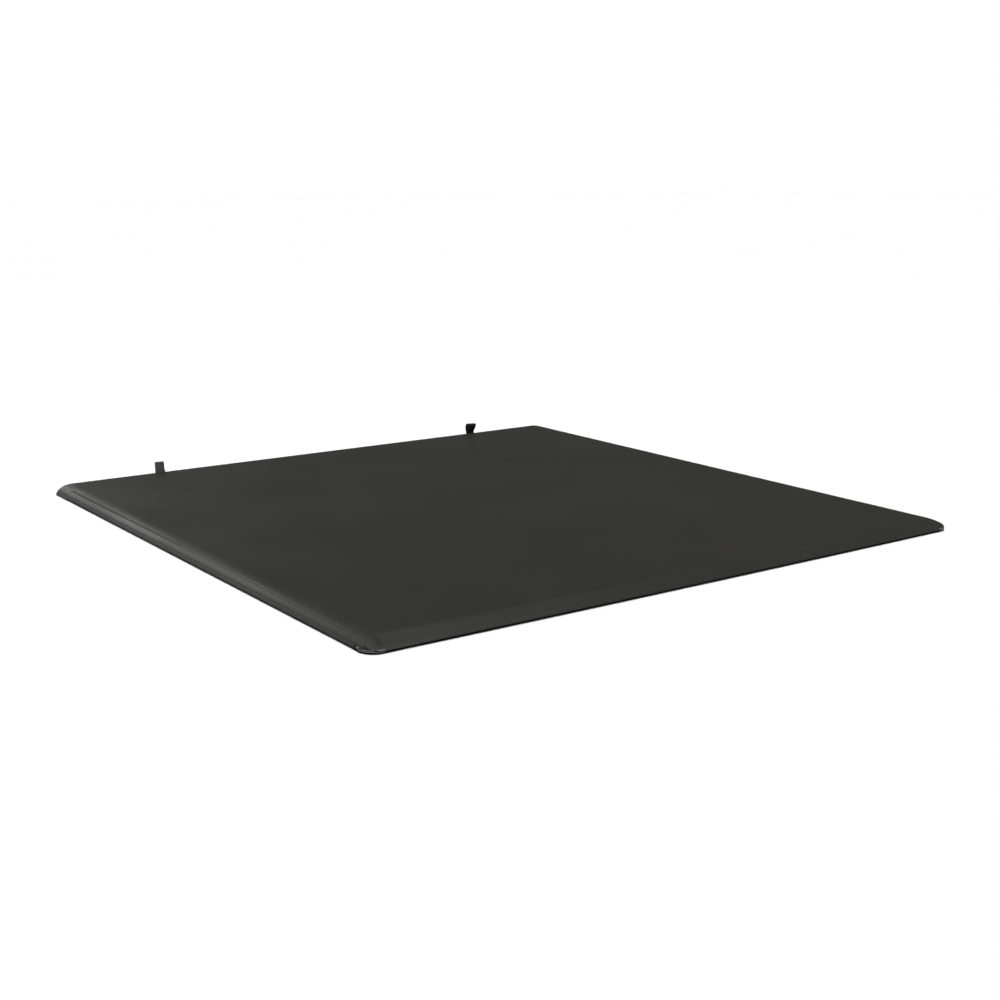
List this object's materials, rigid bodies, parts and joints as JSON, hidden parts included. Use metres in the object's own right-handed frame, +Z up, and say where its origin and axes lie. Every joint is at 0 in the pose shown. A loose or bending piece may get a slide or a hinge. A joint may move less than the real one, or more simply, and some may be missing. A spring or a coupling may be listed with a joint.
{
  "type": "soft roll-up tonneau cover",
  "caption": "Soft roll-up pickup bed cover with curved side flaps, header, tail bar with corner caps, cross bows, swing-down clamps and storage straps.",
  "frame": {"origin": "middle of the footprint, on the plane the rail seals rest on", "axes": "+X across the bed to the right seen from the tailgate, +Y towards the cab, +Z up"},
  "size_m": [1.6798, 1.686, 0.057],
  "materials": {
    "vinyl": "grained satin vinyl",
    "black_aluminium": "black powder coat",
    "mill_aluminium": "mill",
    "cast_aluminium": "cast, matte",
    "seal_rubber": "matte",
    "hook_tape": "hook pile",
    "webbing": "woven",
    "cap_plastic": "semi-gloss",
    "moulded_plastic": "fine texture",
    "zinc_steel": "zinc plated"
  },
  "bodies": {
    "frame": {"side_rail_left": "black_aluminium", "side_rail_right": "black_aluminium", "rail_seals": "seal_rubber", "hook_tapes": "hook_tape", "rail_end_plugs": "moulded_plastic", "header_bar": "black_aluminium", "header_seal": "seal_rubber", "header_corner_blocks": "moulded_plastic", "header_corner_screws": "zinc_steel", "tension_brackets": "cast_aluminium", "strap_anchors": "webbing", "strap_screws": "zinc_steel", "cinch_straps": "webbing", "clamp_hinge_blocks": "cast_aluminium", "clamp_hinge_pins": "zinc_steel", "clamp_block_screws": "zinc_steel", "cover_front_section": "vinyl"},
    "cover_01": {"cover_section_01": "vinyl"},
    "cover_02": {"cover_section_02": "vinyl", "crossbow_front": "mill_aluminium", "crossbow_tips_front": "moulded_plastic"},
    "cover_03": {"cover_section_03": "vinyl"},
    "cover_04": {"cover_section_04": "vinyl"},
    "cover_05": {"cover_section_05": "vinyl", "crossbow_middle": "mill_aluminium", "crossbow_tips_middle": "moulded_plastic"},
    "cover_06": {"cover_section_06": "vinyl"},
    "cover_07": {"cover_section_07": "vinyl"},
    "cover_08": {"cover_section_08": "vinyl"},
    "cover_09": {"cover_section_09": "vinyl", "crossbow_rear": "mill_aluminium", "crossbow_tips_rear": "moulded_plastic"},
    "cover_10": {"cover_section_10": "vinyl"},
    "cover_11": {"cover_section_11": "vinyl"},
    "cover_12": {"cover_section_12": "vinyl"},
    "tail": {"cover_tail_section": "vinyl", "tail_bar": "black_aluminium", "tail_seal": "seal_rubber", "tail_end_caps": "cap_plastic", "tail_cap_screws": "zinc_steel"},
    "latch_left": {"latch_bolt_left": "moulded_plastic"},
    "latch_right": {"latch_bolt_right": "moulded_plastic"},
    "strap_left": {"strap_loop_left": "webbing"},
    "strap_right": {"strap_loop_right": "webbing"},
    "knob_left": {"tension_knob_left": "moulded_plastic"},
    "knob_right": {"tension_knob_right": "moulded_plastic"},
    "clamp_left_front": {"clamp_arm_left_front": "cast_aluminium"},
    "clamp_screw_left_front_body": {"clamp_screw_left_front": "zinc_steel"},
    "clamp_left_middle": {"clamp_arm_left_middle": "cast_aluminium"},
    "clamp_screw_left_middle_body": {"clamp_screw_left_middle": "zinc_steel"},
    "clamp_left_rear": {"clamp_arm_left_rear": "cast_aluminium"},
    "clamp_screw_left_rear_body": {"clamp_screw_left_rear": "zinc_steel"},
    "clamp_right_front": {"clamp_arm_right_front": "cast_aluminium"},
    "clamp_screw_right_front_body": {"clamp_screw_right_front": "zinc_steel"},
    "clamp_right_middle": {"clamp_arm_right_middle": "cast_aluminium"},
    "clamp_screw_right_middle_body": {"clamp_screw_right_middle": "zinc_steel"},
    "clamp_right_rear": {"clamp_arm_right_rear": "cast_aluminium"},
    "clamp_screw_right_rear_body": {"clamp_screw_right_rear": "zinc_steel"}
  },
  "joints": [
    {"name": "cover_roll", "type": "hinge", "parent": "frame", "child": "cover_01", "pos_m": [0, 0.663, 0.028], "axis": [-1, 0, 0], "range_deg": [0, 74]},
    {"name": "cover_roll_02", "type": "hinge", "parent": "cover_01", "child": "cover_02", "pos_m": [0, 0.509, 0.028], "axis": [-1, 0, 0], "range_deg": [0, 74]},
    {"name": "cover_roll_03", "type": "hinge", "parent": "cover_02", "child": "cover_03", "pos_m": [0, 0.361, 0.028], "axis": [-1, 0, 0], "range_deg": [0, 74]},
    {"name": "cover_roll_04", "type": "hinge", "parent": "cover_03", "child": "cover_04", "pos_m": [0, 0.219, 0.028], "axis": [-1, 0, 0], "range_deg": [0, 74]},
    {"name": "cover_roll_05", "type": "hinge", "parent": "cover_04", "child": "cover_05", "pos_m": [0, 0.083, 0.028], "axis": [-1, 0, 0], "range_deg": [0, 74]},
    {"name": "cover_roll_06", "type": "hinge", "parent": "cover_05", "child": "cover_06", "pos_m": [0, -0.047, 0.028], "axis": [-1, 0, 0], "range_deg": [0, 74]},
    {"name": "cover_roll_07", "type": "hinge", "parent": "cover_06", "child": "cover_07", "pos_m": [0, -0.171, 0.028], "axis": [-1, 0, 0], "range_deg": [0, 74]},
    {"name": "cover_roll_08", "type": "hinge", "parent": "cover_07", "child": "cover_08", "pos_m": [0, -0.289, 0.028], "axis": [-1, 0, 0], "range_deg": [0, 74]},
    {"name": "cover_roll_09", "type": "hinge", "parent": "cover_08", "child": "cover_09", "pos_m": [0, -0.401, 0.028], "axis": [-1, 0, 0], "range_deg": [0, 74]},
    {"name": "cover_roll_10", "type": "hinge", "parent": "cover_09", "child": "cover_10", "pos_m": [0, -0.507, 0.028], "axis": [-1, 0, 0], "range_deg": [0, 74]},
    {"name": "cover_roll_11", "type": "hinge", "parent": "cover_10", "child": "cover_11", "pos_m": [0, -0.607, 0.028], "axis": [-1, 0, 0], "range_deg": [0, 74]},
    {"name": "cover_roll_12", "type": "hinge", "parent": "cover_11", "child": "cover_12", "pos_m": [0, -0.691, 0.028], "axis": [-1, 0, 0], "range_deg": [0, 74]},
    {"name": "cover_roll_tail", "type": "hinge", "parent": "cover_12", "child": "tail", "pos_m": [0, -0.768, 0.028], "axis": [-1, 0, 0], "range_deg": [0, 74]},
    {"name": "latch_slide_left", "type": "slide", "parent": "tail", "child": "latch_left", "axis": [0, 1, 0], "range_m": [0, 0.012]},
    {"name": "latch_slide_right", "type": "slide", "parent": "tail", "child": "latch_right", "axis": [0, 1, 0], "range_m": [0, 0.012]},
    {"name": "strap_lean_left", "type": "hinge", "parent": "frame", "child": "strap_left", "pos_m": [-0.54, 0.8415, 0.03], "axis": [-1, 0, 0], "range_deg": [-85, 90]},
    {"name": "strap_lean_right", "type": "hinge", "parent": "frame", "child": "strap_right", "pos_m": [0.54, 0.8415, 0.03], "axis": [-1, 0, 0], "range_deg": [-85, 90]},
    {"name": "knob_turn_left", "type": "hinge", "parent": "frame", "child": "knob_left", "pos_m": [-0.735, 0.784, 0.0135], "axis": [0, 1, 0], "continuous": true},
    {"name": "knob_turn_right", "type": "hinge", "parent": "frame", "child": "knob_right", "pos_m": [0.735, 0.784, 0.0135], "axis": [0, 1, 0], "continuous": true},
    {"name": "clamp_swing_left_front", "type": "hinge", "parent": "frame", "child": "clamp_left_front", "pos_m": [-0.757, 0.62, 0.017], "axis": [0, 1, 0], "range_deg": [0, 90]},
    {"name": "clamp_tighten_left_front", "type": "slide", "parent": "clamp_left_front", "child": "clamp_screw_left_front_body", "axis": [-1, 0, 0], "range_m": [0, 0.024]},
    {"name": "clamp_swing_left_middle", "type": "hinge", "parent": "frame", "child": "clamp_left_middle", "pos_m": [-0.757, 0.07, 0.017], "axis": [0, 1, 0], "range_deg": [0, 90]},
    {"name": "clamp_tighten_left_middle", "type": "slide", "parent": "clamp_left_middle", "child": "clamp_screw_left_middle_body", "axis": [-1, 0, 0], "range_m": [0, 0.024]},
    {"name": "clamp_swing_left_rear", "type": "hinge", "parent": "frame", "child": "clamp_left_rear", "pos_m": [-0.757, -0.58, 0.017], "axis": [0, 1, 0], "range_deg": [0, 90]},
    {"name": "clamp_tighten_left_rear", "type": "slide", "parent": "clamp_left_rear", "child": "clamp_screw_left_rear_body", "axis": [-1, 0, 0], "range_m": [0, 0.024]},
    {"name": "clamp_swing_right_front", "type": "hinge", "parent": "frame", "child": "clamp_right_front", "pos_m": [0.757, 0.62, 0.017], "axis": [0, -1, 0], "range_deg": [0, 90]},
    {"name": "clamp_tighten_right_front", "type": "slide", "parent": "clamp_right_front", "child": "clamp_screw_right_front_body", "axis": [1, 0, 0], "range_m": [0, 0.024]},
    {"name": "clamp_swing_right_middle", "type": "hinge", "parent": "frame", "child": "clamp_right_middle", "pos_m": [0.757, 0.07, 0.017], "axis": [0, -1, 0], "range_deg": [0, 90]},
    {"name": "clamp_tighten_right_middle", "type": "slide", "parent": "clamp_right_middle", "child": "clamp_screw_right_middle_body", "axis": [1, 0, 0], "range_m": [0, 0.024]},
    {"name": "clamp_swing_right_rear", "type": "hinge", "parent": "frame", "child": "clamp_right_rear", "pos_m": [0.757, -0.58, 0.017], "axis": [0, -1, 0], "range_deg": [0, 90]},
    {"name": "clamp_tighten_right_rear", "type": "slide", "parent": "clamp_right_rear", "child": "clamp_screw_right_rear_body", "axis": [1, 0, 0], "range_m": [0, 0.024]}
  ],
  "couplings": [
    {"joint": "cover_roll_02", "follows": "cover_roll", "ratio": 1},
    {"joint": "cover_roll_03", "follows": "cover_roll", "ratio": 1},
    {"joint": "cover_roll_04", "follows": "cover_roll", "ratio": 1},
    {"joint": "cover_roll_05", "follows": "cover_roll", "ratio": 1},
    {"joint": "cover_roll_06", "follows": "cover_roll", "ratio": 1},
    {"joint": "cover_roll_07", "follows": "cover_roll", "ratio": 1},
    {"joint": "cover_roll_08", "follows": "cover_roll", "ratio": 1},
    {"joint": "cover_roll_09", "follows": "cover_roll", "ratio": 1},
    {"joint": "cover_roll_10", "follows": "cover_roll", "ratio": 1},
    {"joint": "cover_roll_11", "follows": "cover_roll", "ratio": 1},
    {"joint": "cover_roll_12", "follows": "cover_roll", "ratio": 1},
    {"joint": "cover_roll_tail", "follows": "cover_roll", "ratio": 1}
  ]
}
